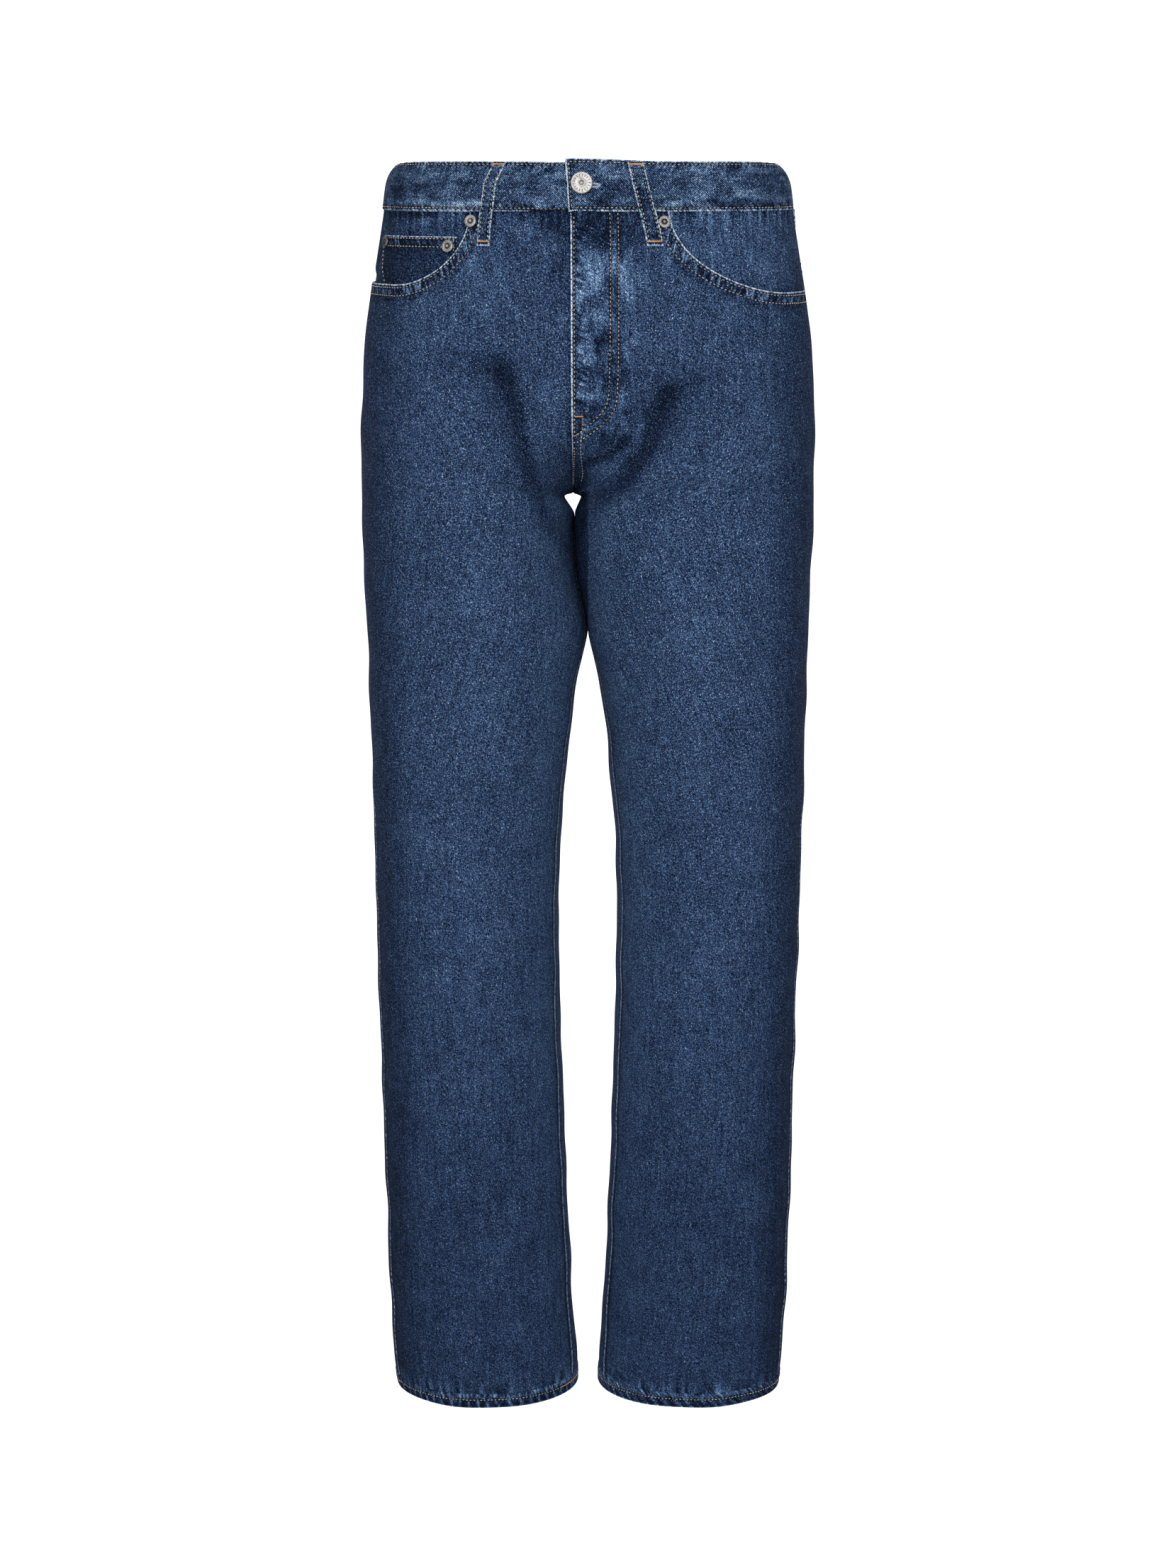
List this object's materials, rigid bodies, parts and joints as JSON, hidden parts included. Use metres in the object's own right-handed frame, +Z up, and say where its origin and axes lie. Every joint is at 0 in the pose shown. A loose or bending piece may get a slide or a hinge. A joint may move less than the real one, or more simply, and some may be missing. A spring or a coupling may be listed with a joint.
{
  "type": "baggy jeans",
  "caption": "Straight baggy denim jeans standing open as if worn, with a buttoned waistband, belt loops, scooped front pockets, a coin pocket and turned hems.",
  "frame": {"origin": "middle of the waist opening, level with the front of the waistband's top edge", "axes": "+Z up, the front of the garment faces -Y, +X is the wearer's left"},
  "size_m": [0.3732, 0.2509, 1.0406],
  "materials": {
    "denim": "dark blue cotton twill, worn lighter along seams and folds",
    "metal": "silver-coloured button and rivets, slightly tarnished"
  },
  "bodies": {
    "root": {"front_left": "denim", "front_right": "denim", "back_left": "denim", "back_right": "denim", "yoke_left": "denim", "yoke_right": "denim", "hem_left": "denim", "hem_right": "denim", "waistband": "denim", "belt_loop_front_left": "denim", "belt_loop_front_right": "denim", "belt_loop_side_left": "denim", "belt_loop_side_right": "denim", "belt_loop_back": "denim", "pocket_facing_left": "denim", "pocket_facing_right": "denim", "coin_pocket": "denim", "fly_underlap": "denim", "back_pocket_left": "denim", "back_pocket_right": "denim", "rivet_pocket_right": "metal", "rivet_coin_inner": "metal", "rivet_coin_outer": "metal", "rivet_pocket_left": "metal", "button": "metal"}
  },
  "joints": []
}
